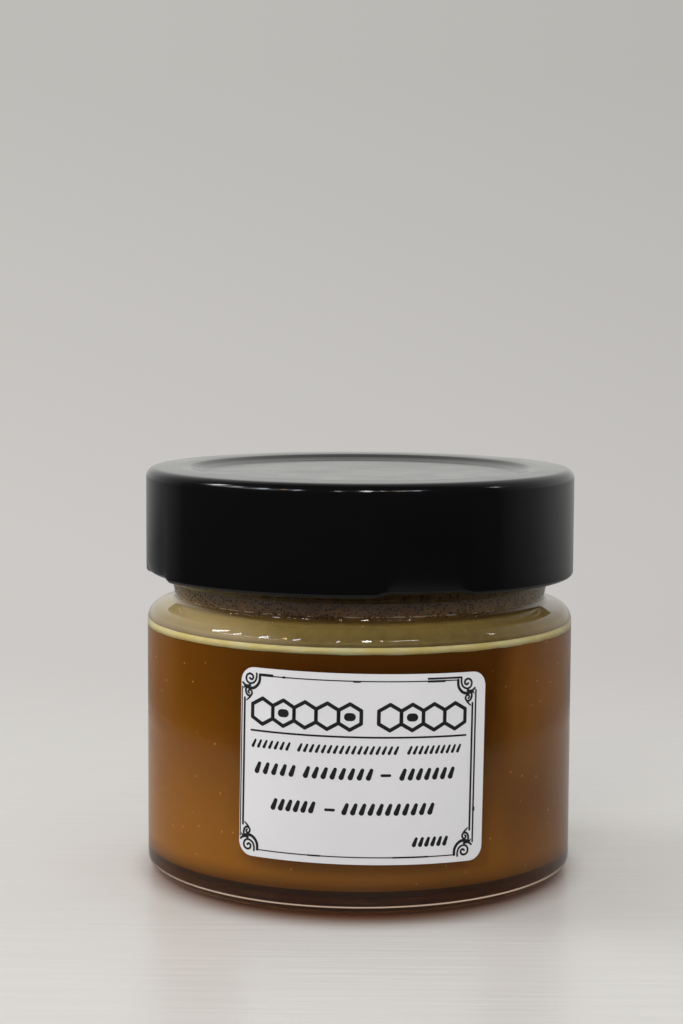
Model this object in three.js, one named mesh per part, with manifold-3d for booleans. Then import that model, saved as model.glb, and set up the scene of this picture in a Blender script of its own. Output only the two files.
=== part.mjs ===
import * as THREE from "three";
import Module from "manifold-3d";
import * as BufferGeometryUtils from "three/addons/utils/BufferGeometryUtils.js";

// A small glass jar of creamed honey under a deep black twist-off lid.
// Millimetres, +Z up. The jar stands on Z = 0, its axis is the Z axis, and its label faces -Y.

// Driving dimensions of the glass
const bodyRadius = 36.9;
const wallThickness = 2.4;
const heelRadius = 3.4;
const innerHeelRadius = 3.7;
const restRingInner = 29.5;
const puntHeight = 1.3;
const floorHeight = 3.35;
const wallTop = 43.7;
const shoulderRadius = 3.0;
const shoulderSlope = 14;
const neckFoot = { radius: 32.0, height: 47.3 };
const neckRadius = 32.6;
const beadReach = 0.45;
const beadHeight = 51.2;
const mouthRadius = 29.6;
const rimHeight = 68.9;

// Driving dimensions of the lid
const lidRadius = 37.1;
const lidBottom = 51.6;
const lidTop = 70.1;
const lidSheet = 0.6;
const lidCornerRadius = 2.5;
const crownOuter = 34.4;
const crownInner = 31.2;
const panelRadius = 27.4;
const panelRecess = 0.9;
const curlRadius = 0.85;
const lugCount = 4;
const lugCentre = 17;
const lugWidth = 23;
const lugReach = 2.3;
const lugThickness = 1.2;

// Driving dimensions of the filling and the label
const honeyTop = 42.6;
const foamThickness = 1.3;
const fillGap = 0.3;
const labelWidth = 41.6;
const labelHeight = 31.0;
const labelMiddle = { angle: 1.0, height: 24.2 };
const labelTilt = 1.0;
const labelCorner = 2.4;
const labelPaper = 0.11;
const labelGap = 0.04;

// How finely the round pieces are faceted
const turnSteps = 72;
const arcStep = 20;
const labelOutlineSteps = 96;

const radians = THREE.MathUtils.degToRad;

// Points along a round corner about (radius, height), from one angle to another in degrees.
function corner(radius, height, bend, from, to) {
  const steps = Math.max(2, Math.ceil(Math.abs(to - from) / arcStep));
  const points = [];
  for (let i = 0; i <= steps; i += 1) {
    const angle = radians(from + ((to - from) * i) / steps);
    points.push([radius + bend * Math.cos(angle), height + bend * Math.sin(angle)]);
  }
  return points;
}

// A profile of [radius, height] pairs from axis to axis, turned about Z into a closed solid.
function turned(profile) {
  const points = profile.map(([radius, height]) => new THREE.Vector2(Math.max(radius, 0), height));
  const geometry = new THREE.LatheGeometry(points, turnSteps);
  geometry.rotateX(Math.PI / 2);
  return geometry;
}

// Only the positions count in a boolean, so the shared vertices are merged first.
function bare(geometry) {
  const copy = geometry.clone();
  copy.deleteAttribute("normal");
  copy.deleteAttribute("uv");
  return BufferGeometryUtils.mergeVertices(copy, 1e-4);
}

const wasm = await Module();
wasm.setup();

function solid(geometry) {
  const merged = bare(geometry);
  const mesh = new wasm.Mesh({
    numProp: 3,
    vertProperties: new Float32Array(merged.attributes.position.array),
    triVerts: new Uint32Array(merged.index.array),
  });
  return new wasm.Manifold(mesh);
}

function surface(manifold) {
  const mesh = manifold.getMesh();
  const geometry = new THREE.BufferGeometry();
  geometry.setAttribute("position", new THREE.BufferAttribute(new Float32Array(mesh.vertProperties), 3));
  geometry.setIndex(new THREE.BufferAttribute(new Uint32Array(mesh.triVerts), 1));
  geometry.computeVertexNormals();
  return geometry;
}

function piece(name, geometry, colour, roughness, metalness) {
  const material = new THREE.MeshStandardMaterial({ color: colour, roughness, metalness });
  const mesh = new THREE.Mesh(geometry, material);
  mesh.name = name;
  return mesh;
}

// The shoulder is a round corner that stops at its slope and runs on, nearly flat, to the neck.
function shoulder(radius, top, bend) {
  return corner(radius - bend, top, bend, 0, 90 - shoulderSlope);
}

// The jar: one wall of glass, up the outside to the mouth and back down the inside.
function jarGeometry() {
  const innerRadius = bodyRadius - wallThickness;
  const innerShoulder = shoulderRadius - 1.2;
  const profile = [
    [0, puntHeight],
    [restRingInner - 4.5, puntHeight],
    [restRingInner - 1.8, puntHeight * 0.55],
    [restRingInner, 0],
    ...corner(bodyRadius - heelRadius, heelRadius, heelRadius, -90, 0),
    ...shoulder(bodyRadius, wallTop, shoulderRadius),
    [neckFoot.radius, neckFoot.height],
    [neckRadius - 0.35, neckFoot.height + 1.0],
    [neckRadius, beadHeight - 0.8],
    [neckRadius + beadReach, beadHeight],
    [neckRadius, beadHeight + 0.8],
    ...corner(neckRadius - 1.3, rimHeight - 1.3, 1.3, 0, 90),
    ...corner(mouthRadius + 1.0, rimHeight - 1.0, 1.0, 90, 180),
    [mouthRadius, neckFoot.height - 0.4],
    ...shoulder(innerRadius, wallTop - 0.6, innerShoulder).reverse(),
    ...corner(innerRadius - innerHeelRadius, floorHeight + innerHeelRadius, innerHeelRadius, 0, -90),
    [0, floorHeight],
  ];
  return turned(profile);
}

// The honey fills the jar to the glass, less a hair of clearance, and is flat on top.
function honeyGeometry() {
  const radius = bodyRadius - wallThickness - fillGap;
  const bend = innerHeelRadius - fillGap;
  const bottom = floorHeight + fillGap;
  const profile = [
    [0, bottom],
    ...corner(radius - bend, bottom + bend, bend, -90, 0),
    [radius, honeyTop],
    [0, honeyTop],
  ];
  return turned(profile);
}

// The froth that rose to the top as the honey set, a thin pale layer on the same radius.
function foamGeometry() {
  const radius = bodyRadius - wallThickness - fillGap;
  const top = honeyTop + foamThickness;
  const profile = [
    [0, honeyTop],
    [radius, honeyTop],
    [radius, top - 0.15],
    [radius - 0.3, top],
    [0, top],
  ];
  return turned(profile);
}

// The lid's shell: a recessed top panel, a crowned rim, a plain skirt and a rolled lower edge.
function lidShellGeometry() {
  const underside = lidTop - panelRecess - lidSheet;
  const skirtInner = lidRadius - lidSheet;
  const curlCentre = lidRadius - curlRadius;
  const profile = [
    [0, underside],
    [panelRadius + 0.6, underside],
    [crownInner + 0.3, lidTop - lidSheet - 0.15],
    ...corner(skirtInner - 1.3, lidTop - lidSheet - 1.5, 1.3, 90, 0),
    [skirtInner, lidBottom + 2.6 * curlRadius],
    ...corner(curlCentre, lidBottom + curlRadius, curlRadius, 125, 360),
    ...corner(lidRadius - lidCornerRadius, lidTop - 0.15 - lidCornerRadius, lidCornerRadius, 0, 90),
    [crownOuter, lidTop],
    [crownInner, lidTop],
    [panelRadius + 0.9, lidTop - 0.25],
    [panelRadius, lidTop - panelRecess],
    [0, lidTop - panelRecess],
  ];
  return turned(profile);
}

// One lug: the curl pressed inwards over a short arc, so that it hooks under the glass thread.
function lugGeometry(angle) {
  const outer = lidRadius - curlRadius;
  const inner = lidRadius - curlRadius * 2 - lugReach + 1;
  const outline = new THREE.Shape();
  const from = radians(angle - lugWidth / 2);
  const to = radians(angle + lugWidth / 2);
  outline.absarc(0, 0, outer, from, to, false);
  outline.absarc(0, 0, inner, to - radians(3), from + radians(3), true);
  const geometry = new THREE.ExtrudeGeometry(outline, {
    depth: lugThickness,
    bevelEnabled: false,
    curveSegments: 5,
  });
  geometry.translate(0, 0, lidBottom + 0.35);
  return geometry;
}

function lidGeometry() {
  let lid = solid(lidShellGeometry());
  for (let i = 0; i < lugCount; i += 1) {
    const angle = -90 + lugCentre + (360 / lugCount) * i;
    lid = lid.add(solid(lugGeometry(angle)));
  }
  return surface(lid);
}

// The label's outline as it lay flat: a rectangle with round corners, turned a little askew.
function labelOutline() {
  const right = labelWidth / 2;
  const top = labelHeight / 2;
  const bend = labelCorner;
  const outline = new THREE.Shape();
  outline.moveTo(-right + bend, -top);
  outline.lineTo(right - bend, -top);
  outline.absarc(right - bend, -top + bend, bend, -Math.PI / 2, 0, false);
  outline.lineTo(right, top - bend);
  outline.absarc(right - bend, top - bend, bend, 0, Math.PI / 2, false);
  outline.lineTo(-right + bend, top);
  outline.absarc(-right + bend, top - bend, bend, Math.PI / 2, Math.PI, false);
  outline.lineTo(-right, -top + bend);
  outline.absarc(-right + bend, -top + bend, bend, Math.PI, Math.PI * 1.5, false);
  const points = outline.getSpacedPoints(labelOutlineSteps);
  points.pop();
  return points.map((point) => point.rotateAround(new THREE.Vector2(), -radians(labelTilt)));
}

// The label: a thin band of paper round the glass, cut to the outline as it looks from in front.
function labelGeometry() {
  const inner = bodyRadius + labelGap;
  const outer = inner + labelPaper;
  const reach = labelHeight;
  const band = turned([
    [inner, labelMiddle.height - reach],
    [outer, labelMiddle.height - reach],
    [outer, labelMiddle.height + reach],
    [inner, labelMiddle.height + reach],
    [inner, labelMiddle.height - reach],
  ]);
  const seen = labelOutline().map(({ x, y }) => {
    const angle = x / outer + radians(labelMiddle.angle);
    return new THREE.Vector2(outer * Math.sin(angle), labelMiddle.height + y);
  });
  const cutter = new THREE.ExtrudeGeometry(new THREE.Shape(seen), {
    depth: bodyRadius * 2,
    bevelEnabled: false,
  });
  cutter.rotateX(Math.PI / 2);
  return surface(solid(band).intersect(solid(cutter)));
}

const honeyJar = new THREE.Group();
honeyJar.add(piece("jar", jarGeometry(), 0xe4e8e2, 0.05, 0));
honeyJar.add(piece("honey", honeyGeometry(), 0x7a4a14, 0.35, 0));
honeyJar.add(piece("honey_foam", foamGeometry(), 0xc9b878, 0.6, 0));
honeyJar.add(piece("lid", lidGeometry(), 0x0b0b0c, 0.18, 0.1));
honeyJar.add(piece("label", labelGeometry(), 0xd8d8d8, 0.7, 0));

export default honeyJar;
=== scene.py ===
# %% [markdown]
# # A jar of creamed honey
#
# This lesson dresses a small glass jar: moulded glass, a filling of creamed honey with its
# froth, a deep black twist-off lid and a white paper label. The solids come from the CAD
# model, in metres and in the same frame, and every piece made here lies where its solid lies.
# Glass shows its facets more than anything else does, so each turned piece is made again with
# a fine, smooth wall over the same profile, and the coarse solid is hidden behind it.

import math

import bpy
from mathutils import Matrix, Vector, noise


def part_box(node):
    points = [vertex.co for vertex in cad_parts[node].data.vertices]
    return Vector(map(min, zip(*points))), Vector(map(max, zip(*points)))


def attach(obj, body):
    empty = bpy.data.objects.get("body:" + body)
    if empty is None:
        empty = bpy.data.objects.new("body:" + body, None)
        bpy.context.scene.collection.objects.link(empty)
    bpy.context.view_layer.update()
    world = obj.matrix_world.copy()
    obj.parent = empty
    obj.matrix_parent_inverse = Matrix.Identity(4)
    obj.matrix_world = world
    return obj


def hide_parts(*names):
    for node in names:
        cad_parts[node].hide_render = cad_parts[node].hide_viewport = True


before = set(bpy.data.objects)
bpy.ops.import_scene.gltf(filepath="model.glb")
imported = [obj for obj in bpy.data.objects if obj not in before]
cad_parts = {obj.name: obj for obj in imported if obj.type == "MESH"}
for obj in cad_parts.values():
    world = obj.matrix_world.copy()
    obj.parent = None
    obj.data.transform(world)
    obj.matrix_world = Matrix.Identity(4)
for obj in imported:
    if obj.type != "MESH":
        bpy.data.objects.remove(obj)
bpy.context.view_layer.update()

# %% [markdown]
# ## Measures
#
# All sizes are in millimetres, as they would be on a glassworks drawing, and one factor turns
# them into Blender's metres. The body and the lid are read from their solids, so that the pieces
# keep to them; wall thicknesses and bends are the usual ones for moulded jars.

# %% The jar's measures
MM = 0.001


def reach_of(node):
    """The radius, lowest and highest height of a turned node, in millimetres."""
    low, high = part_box(node)
    return high.x / MM, low.z / MM, high.z / MM


body_radius, _, rim_height = reach_of("jar")
lid_radius, lid_bottom, lid_top = reach_of("lid")
_, _, honey_top = reach_of("honey")
_, _, foam_top = reach_of("honey_foam")
lid_bottom = round(lid_bottom, 1)
wall = 2.4
inner_radius = body_radius - wall
punt_height = 1.3
punt_radius = 25.5
foot_inner_radius = 29.0
heel_bend = 2.8
inner_heel_bend = 3.7
floor_height = 3.35
wall_top = 43.7
shoulder_bend = 3.0
shoulder_slope = math.radians(14)
neck_foot_radius = 32.0
neck_radius = 32.6
bead_reach = 0.45
bead_bottom, bead_top = 50.4, 52.0
mouth_radius = 29.6
throat_height = 47.0
inner_corner_height = 44.05
print(f"body radius {body_radius:.2f}, lid radius {lid_radius:.2f}, rim at {rim_height:.2f} mm")

# %% [markdown]
# ## Turned pieces
#
# Jar, honey, froth and lid are all bodies of revolution. A Screw modifier would turn a drawn
# profile, but a small function that writes the rings itself can also push single points in or
# out by angle, which the lid's lugs and the froth's ragged edge need. A profile is a list of
# corners, each with the radius of its bend, because that is how such a section is drawn.

# %% Profiles with rounded corners
BEND_STEP = math.radians(6)


def rounded(corners):
    """Turns (radius, height, bend) corners into a fine outline whose bends are true arcs."""
    outline = []
    for i, (x, y, bend) in enumerate(corners):
        here = Vector((x, y))
        if bend <= 0 or i in (0, len(corners) - 1):
            outline.append(here)
            continue
        back = Vector(corners[i - 1][:2]) - here
        ahead = Vector(corners[i + 1][:2]) - here
        half = back.angle(ahead) / 2
        tangent = min(bend / math.tan(half), 0.499 * back.length, 0.499 * ahead.length)
        radius = tangent * math.tan(half)
        inward = (back.normalized() + ahead.normalized()).normalized()
        centre = here + inward * radius / math.sin(half)
        start = here + back.normalized() * tangent - centre
        sweep = math.pi - 2 * half
        turn = math.copysign(1, back.x * ahead.y - back.y * ahead.x)
        steps = max(2, math.ceil(sweep / BEND_STEP))
        for k in range(steps + 1):
            outline.append(centre + Matrix.Rotation(-turn * sweep * k / steps, 2) @ start)
    return outline


# %% Turning a profile about the jar's axis
TURNS = 180


def add_piece(name, vertices, faces, smooth=True):
    """Makes a mesh object from millimetre points and rides it on the jar."""
    mesh = bpy.data.meshes.new(name)
    mesh.from_pydata([Vector(v) * MM for v in vertices], [], faces)
    mesh.validate()
    mesh.polygons.foreach_set("use_smooth", [smooth] * len(mesh.polygons))
    piece = bpy.data.objects.new(name, mesh)
    bpy.context.scene.collection.objects.link(piece)
    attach(piece, "root")
    print(f"{name}: {len(mesh.polygons)} faces")
    return piece


def turn(name, outline, shape=None, turns=TURNS, closed=False):
    """Turns an outline about Z. Ends on the axis become one point; a closed outline makes a ring."""
    vertices, rings = [], []
    for r, z in outline:
        if r < 1e-6:
            rings.append([len(vertices)] * turns)
            vertices.append((0, 0, z))
            continue
        rings.append(range(len(vertices), len(vertices) + turns))
        for k in range(turns):
            angle = 2 * math.pi * k / turns
            rr, zz = shape(angle, r, z) if shape else (r, z)
            vertices.append((rr * math.cos(angle), rr * math.sin(angle), zz))
    faces = []
    for i in range(len(rings) - (0 if closed else 1)):
        lower, upper = rings[i], rings[(i + 1) % len(rings)]
        for k in range(turns):
            n = (k + 1) % turns
            face = [lower[k], lower[n], upper[n], upper[k]]
            faces.append(list(dict.fromkeys(face)))
    return add_piece(name, vertices, faces)


# %% [markdown]
# ## Nodes and colours
#
# Each finish is a small tree of shader nodes. One function adds a node, with its settings and
# its links in one call, and another turns a colour as a screen shows it into linear light.
# Places are read from the piece itself, so that a pattern stays on it when it is moved.

# %% Adding a node, and reading a colour
def linear(colour):
    """A hex colour as the screen shows it, as linear light with full alpha."""
    shown = [int(colour[i:i + 2], 16) / 255 for i in (1, 3, 5)]
    light = [c / 12.92 if c <= 0.04045 else ((c + 0.055) / 1.055) ** 2.4 for c in shown]
    return (*light, 1.0)


def add_node(tree, kind, inputs=None, **settings):
    """Adds one node. An input is a value, a hex colour, or another node's socket to link."""
    made = tree.nodes.new(kind)
    for name, value in settings.items():
        setattr(made, name, value)
    for name, value in (inputs or {}).items():
        if isinstance(value, bpy.types.NodeSocket):
            tree.links.new(value, made.inputs[name])
        else:
            made.inputs[name].default_value = linear(value) if isinstance(value, str) else value
    return made


def new_finish(name):
    """An empty material, and its tree."""
    finish = bpy.data.materials.new(name)
    finish.use_nodes = True
    finish.node_tree.nodes.clear()
    print(f"finish: {name}")
    return finish, finish.node_tree


def per_mm(size):
    """The texture scale that makes a pattern's features about this many millimetres wide."""
    return 1 / (size * MM)


# %% [markdown]
# ## Moulded glass
#
# The jar is soda-lime glass, blown in a mould. Its outside is smooth from the fire, with long
# faint waves that only show where a lamp's reflection runs over them. A Principled shader with
# full transmission and an index of 1.52 bends the light as the real wall does. Lamps can't see
# through bent glass in a path tracer, so rays that look for a lamp pass straight through.

# %% The glass finish
def soda_lime_glass():
    finish, tree = new_finish("soda_lime_glass_blown")
    place = add_node(tree, "ShaderNodeTexCoord")
    # The waves of a blown wall are 10 to 20 mm long and a few hundredths of a millimetre deep.
    waves = add_node(tree, "ShaderNodeTexNoise", {
        "Vector": place.outputs["Object"], "Scale": per_mm(14), "Detail": 1.5})
    relief = add_node(tree, "ShaderNodeBump", {
        "Height": waves.outputs["Fac"], "Strength": 0.25, "Distance": 0.12 * MM})
    height = add_node(tree, "ShaderNodeSeparateXYZ", {"Vector": place.outputs["Object"]})
    above_base = add_node(tree, "ShaderNodeMapRange", {
        "Value": height.outputs["Z"], "From Min": 3.4 * MM, "From Max": 5.0 * MM})
    # Painted shade: low down the glass is tinted brown, so that what is seen through the base looks
    # brown and dark, like the shaded honey.
    depth = add_node(tree, "ShaderNodeMix", {
        "Factor": above_base.outputs["Result"], "A": "#DABEA6", "B": "#F6F9F5"}, data_type="RGBA")
    glass = add_node(tree, "ShaderNodeBsdfPrincipled", {
        "Base Color": depth.outputs["Result"], "Transmission Weight": 1.0, "IOR": 1.52,
        "Roughness": 0.0, "Normal": relief.outputs["Normal"]})
    # Light that reaches the board through the base has crossed the honey, so it comes out brown.
    tint = add_node(tree, "ShaderNodeMix", {
        "Factor": above_base.outputs["Result"], "A": "#8E6844", "B": "#F2F4EE"}, data_type="RGBA")
    clear = add_node(tree, "ShaderNodeBsdfTransparent", {"Color": tint.outputs["Result"]})
    path = add_node(tree, "ShaderNodeLightPath")
    both = add_node(tree, "ShaderNodeMixShader", {
        0: path.outputs["Is Shadow Ray"], 1: glass.outputs[0], 2: clear.outputs[0]})
    add_node(tree, "ShaderNodeOutputMaterial", {"Surface": both.outputs[0]})
    return finish


# %% The glass jar
def jar_outline():
    """The section of the glass: foot, heel, wall, shoulder, neck and mouth, and back inside."""
    shoulder_corner = wall_top + shoulder_bend * math.tan((math.pi / 2 - shoulder_slope) / 2)
    neck_foot = shoulder_corner + (body_radius - neck_foot_radius) * math.tan(shoulder_slope)
    bead_radius = neck_radius + bead_reach
    return rounded([
        (0, punt_height, 0), (punt_radius, punt_height, 2.0), (foot_inner_radius, 0, 1.5),
        (body_radius, 0, heel_bend), (body_radius, shoulder_corner, shoulder_bend),
        (neck_foot_radius, neck_foot, 1.0), (neck_radius, bead_bottom, 0.4),
        (bead_radius, bead_bottom + 0.35, 0.3), (bead_radius, bead_top - 0.4, 0.3),
        (neck_radius, bead_top, 0.4), (neck_radius, rim_height, 1.3),
        (mouth_radius, rim_height, 1.0), (mouth_radius, throat_height, 3.0),
        (inner_radius, inner_corner_height, 1.8),
        (inner_radius, floor_height, inner_heel_bend), (0, floor_height, 0)])


jar = turn("jar_glass", jar_outline())
jar.data.materials.append(soda_lime_glass())
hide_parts("jar")

# %% [markdown]
# ## Creamed honey
#
# Creamed honey is honey stirred while it sets, so that its sugar forms crystals too fine to
# feel. It is dense and opaque, but light sinks a few millimetres into it and comes out amber.
# Subsurface scattering gives that depth. Honey wets the glass, so its wall reaches a twentieth
# of a millimetre into it: no air gap shows, and the surface needs no gloss of its own.

# %% Light and dark in the honey
def edge_light(tree, axis):
    """High up at the jar's sides daylight comes through the honey's edge, and all along its rim."""
    left_light = add_node(tree, "ShaderNodeMapRange", {
        "Value": axis["X"], "From Min": -20 * MM, "From Max": -36 * MM, "To Max": 0.33})
    right_light = add_node(tree, "ShaderNodeMapRange", {
        "Value": axis["X"], "From Min": 21.5 * MM, "From Max": 25 * MM, "To Max": 0.53})
    left_high = add_node(tree, "ShaderNodeMapRange", {
        "Value": axis["Z"], "From Min": 24 * MM, "From Max": 38 * MM})
    right_high = add_node(tree, "ShaderNodeMapRange", {
        "Value": axis["Z"], "From Min": 16 * MM, "From Max": 34 * MM, "To Min": -0.25})
    left_share = add_node(tree, "ShaderNodeMath", {
        0: left_light.outputs["Result"], 1: left_high.outputs["Result"]}, operation="MULTIPLY")
    side_light = add_node(tree, "ShaderNodeMath", {
        0: right_light.outputs["Result"], 1: right_high.outputs["Result"], 2: left_share.outputs[0]},
        operation="MULTIPLY_ADD")
    sideways = add_node(tree, "ShaderNodeMath", {0: axis["X"]}, operation="ABSOLUTE")
    rim_light = add_node(tree, "ShaderNodeMapRange", {
        "Value": sideways.outputs[0], "From Min": 32.5 * MM, "From Max": 36 * MM, "To Max": 0.28})
    return add_node(tree, "ShaderNodeMath", {
        0: side_light.outputs[0], 1: rim_light.outputs["Result"]}, operation="ADD").outputs[0]


def honey_paleness(tree, place):
    """How pale the honey is at each place, from 0 where it is darkest to 1: its own clouds, with
    painted light and shade.
    """
    axis = add_node(tree, "ShaderNodeSeparateXYZ", {"Vector": place}).outputs
    # Painted light: the honey is paler towards the floor, where the board's glow comes up into it.
    glow_from_below = add_node(tree, "ShaderNodeMapRange", {
        "Value": axis["Z"], "From Min": honey_top * MM, "From Max": floor_height * MM,
        "To Max": 0.79})
    # Slow clouds, about 18 mm across, where the stirring left the crystals denser.
    clouds = add_node(tree, "ShaderNodeTexNoise", {
        "Vector": place, "Scale": per_mm(18), "Detail": 2.0})
    shade = add_node(tree, "ShaderNodeMath", {
        0: clouds.outputs["Fac"], 1: 0.24, 2: glow_from_below.outputs["Result"]}, operation="MULTIPLY_ADD")
    # Painted shade: a darker patch in front, high up under the froth, where the least light reaches
    # the honey.
    shade_spot = add_node(tree, "ShaderNodeVectorMath", {
        0: place, 1: (8 * MM, -34 * MM, 41 * MM)}, operation="DISTANCE")
    away = add_node(tree, "ShaderNodeMapRange", {
        "Value": shade_spot.outputs["Value"], "From Min": 4 * MM, "From Max": 44 * MM,
        "To Min": -0.22, "To Max": 0.14})
    front = add_node(tree, "ShaderNodeMath", {
        0: shade.outputs[0], 1: away.outputs["Result"]}, operation="ADD")
    lit = edge_light(tree, axis)
    return add_node(tree, "ShaderNodeMath", {0: front.outputs[0], 1: lit}, operation="ADD").outputs[0]


# %% The honey's finish
def creamed_honey():
    finish, tree = new_finish("creamed_honey")
    place = add_node(tree, "ShaderNodeTexCoord").outputs["Object"]
    colour = add_node(tree, "ShaderNodeValToRGB", {"Fac": honey_paleness(tree, place)})
    stops = colour.color_ramp.elements
    stops[0].color, stops[0].position = linear("#683C09"), 0.0
    stops[1].color, stops[1].position = linear("#B2741A"), 1.0
    stops.new(0.43).color = linear("#845010")
    # A few bubbles, none wider than 0.4 mm, are caught against the glass.
    caught = add_node(tree, "ShaderNodeTexVoronoi", {"Vector": place, "Scale": per_mm(2.6)})
    bubble = add_node(tree, "ShaderNodeMath", {
        0: caught.outputs["Distance"], 1: 0.075}, operation="LESS_THAN")
    body = add_node(tree, "ShaderNodeMix", {
        "Factor": bubble.outputs[0], "A": colour.outputs["Color"], "B": "#E09A3C"},
        data_type="RGBA")
    honey = add_node(tree, "ShaderNodeBsdfPrincipled", {
        "Base Color": body.outputs["Result"], "Roughness": 0.5, "Specular IOR Level": 0.0,
        "Subsurface Weight": 1.0, "Subsurface Radius": (1.0, 0.45, 0.15),
        "Subsurface Scale": 3.0 * MM})
    add_node(tree, "ShaderNodeOutputMaterial", {"Surface": honey.outputs[0]})
    return finish


# %% The honey
REACH = 0.05

honey = turn("honey_fill", rounded([
    (0, floor_height - REACH, 0), (inner_radius + REACH, floor_height - REACH, inner_heel_bend),
    (inner_radius + REACH, honey_top, 0.2), (0, honey_top, 0)]))
honey.data.materials.append(creamed_honey())
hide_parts("honey")

# %% [markdown]
# ## Froth
#
# While honey is stirred it takes up air, and the finest bubbles rise and set as a pale layer a
# millimetre or so thick. Its lower edge isn't a clean line, so that edge wanders a little with
# the angle, and its top has low lumps. Its bubbles are too fine to model and are drawn as a
# relief in the finish.

# %% The froth's finish
def honey_froth():
    finish, tree = new_finish("set_honey_froth")
    place = add_node(tree, "ShaderNodeTexCoord")
    mottle = add_node(tree, "ShaderNodeTexNoise", {
        "Vector": place.outputs["Object"], "Scale": per_mm(5), "Detail": 3.0})
    colour = add_node(tree, "ShaderNodeValToRGB", {"Fac": mottle.outputs["Fac"]})
    stops = colour.color_ramp.elements
    stops[0].color, stops[0].position = linear("#F1D68A"), 0.3
    stops[1].color, stops[1].position = linear("#FBE8B4"), 0.7
    # Bubbles of froth are under 0.2 mm; these are drawn at 0.5 mm so that they show.
    bubbles = add_node(tree, "ShaderNodeTexVoronoi", {
        "Vector": place.outputs["Object"], "Scale": per_mm(0.5)})
    relief = add_node(tree, "ShaderNodeBump", {
        "Height": bubbles.outputs["Distance"], "Strength": 0.4, "Distance": 0.1 * MM})
    froth = add_node(tree, "ShaderNodeBsdfPrincipled", {
        "Base Color": colour.outputs["Color"], "Roughness": 0.6, "Specular IOR Level": 0.2,
        "Subsurface Weight": 0.5, "Subsurface Radius": (1.0, 0.7, 0.35),
        "Subsurface Scale": 1.0 * MM, "Normal": relief.outputs["Normal"]})
    add_node(tree, "ShaderNodeOutputMaterial", {"Surface": froth.outputs[0]})
    return finish


# %% The froth
def froth_shape(angle, r, z):
    """The lower edge wanders by a tenth of a millimetre; the top has low lumps."""
    if z < honey_top:
        edge = noise.noise(Vector((math.cos(angle) * 9, math.sin(angle) * 9, 0)))
        fine = noise.noise(Vector((math.cos(angle) * 40, math.sin(angle) * 40, 5)))
        return r, z + 0.09 * edge + 0.05 * fine
    lumps = noise.noise(Vector((r * math.cos(angle) / 4, r * math.sin(angle) / 4, 3)))
    return r, z + 0.12 * lumps


RING_STEP = 2
froth_rings = [inner_radius - 0.4 - RING_STEP * k for k in range(17)]
froth = turn("honey_froth", [
    (0, honey_top - 0.05), (inner_radius - 0.5, honey_top - 0.05),
    (inner_radius + 2 * REACH, honey_top - 0.15), (inner_radius + 2 * REACH, honey_top + 0.6),
    (inner_radius - REACH, honey_top + 1.1),
    *[(r, foam_top - 0.12) for r in froth_rings], (0, foam_top - 0.12)], froth_shape)
froth.data.materials.append(honey_froth())
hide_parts("honey_foam")

# %% [markdown]
# ## The smear above the honey
#
# Filling and stirring leave a film of honey on the inside of the shoulder and the neck. On the
# shoulder it is smooth and olive; in the neck, where the froth burst, it is full of tiny dark
# specks of pollen and propolis. It is far too thin to be a solid, so it is a skin on the inner
# face of the glass that reaches a twentieth of a millimetre into the wall.

# %% The film on the shoulder
def shoulder_film(tree, axis, streaks):
    """Olive by the froth, pale in the middle and brown by the neck; paler at the sides with painted
    light.
    """
    up = add_node(tree, "ShaderNodeMapRange", {
        "Value": axis["Z"], "From Min": 43.7 * MM, "From Max": 46.7 * MM})
    by_height = add_node(tree, "ShaderNodeValToRGB", {"Fac": up.outputs["Result"]})
    stops = by_height.color_ramp.elements
    stops[0].color, stops[0].position = linear("#7E6A3E"), 0.05
    stops[1].color, stops[1].position = linear("#856836"), 0.9
    stops.new(0.28).color = linear("#88723F")
    stops.new(0.55).color = linear("#A88D50")
    uneven = add_node(tree, "ShaderNodeMapRange", {
        "Value": streaks, "From Min": 0.3, "From Max": 0.7, "To Min": 0.85, "To Max": 1.15})
    film = add_node(tree, "ShaderNodeVectorMath", {
        0: by_height.outputs["Color"], "Scale": uneven.outputs["Result"]}, operation="SCALE")
    # Painted light: paler on the jar's left side, where the light comes from, and a little so at the
    # far right.
    pale = add_node(tree, "ShaderNodeValToRGB", {"Fac": up.outputs["Result"]})
    stops = pale.color_ramp.elements
    stops[0].color, stops[0].position = linear("#B09C7E"), 0.05
    stops[1].color, stops[1].position = linear("#D0BDA0"), 0.95
    stops.new(0.5).color = linear("#D0B47A")
    leftward = add_node(tree, "ShaderNodeMath", {
        0: axis["Z"], 1: -4.5, 2: 44.8 * 4.5 * MM}, operation="MULTIPLY_ADD")
    lean = add_node(tree, "ShaderNodeMath", {
        0: leftward.outputs[0], 1: axis["X"]}, operation="SUBTRACT")
    thin_spots_and_painted_light = add_node(tree, "ShaderNodeMapRange", {
        "Value": lean.outputs[0], "From Min": 11 * MM, "From Max": 24 * MM, "To Max": 0.85})
    lit_left_side = add_node(tree, "ShaderNodeMix", {
        "Factor": thin_spots_and_painted_light.outputs["Result"], "A": film.outputs["Vector"],
        "B": pale.outputs["Color"]}, data_type="RGBA")
    # Painted light at the far right edge as well.
    lit_right_edge = add_node(tree, "ShaderNodeMapRange", {
        "Value": axis["X"], "From Min": 21 * MM, "From Max": 33 * MM, "To Max": 0.35})
    return add_node(tree, "ShaderNodeMix", {
        "Factor": lit_right_edge.outputs["Result"], "A": lit_left_side.outputs["Result"],
        "B": "#CBAC74"}, data_type="RGBA").outputs["Result"]


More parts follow.
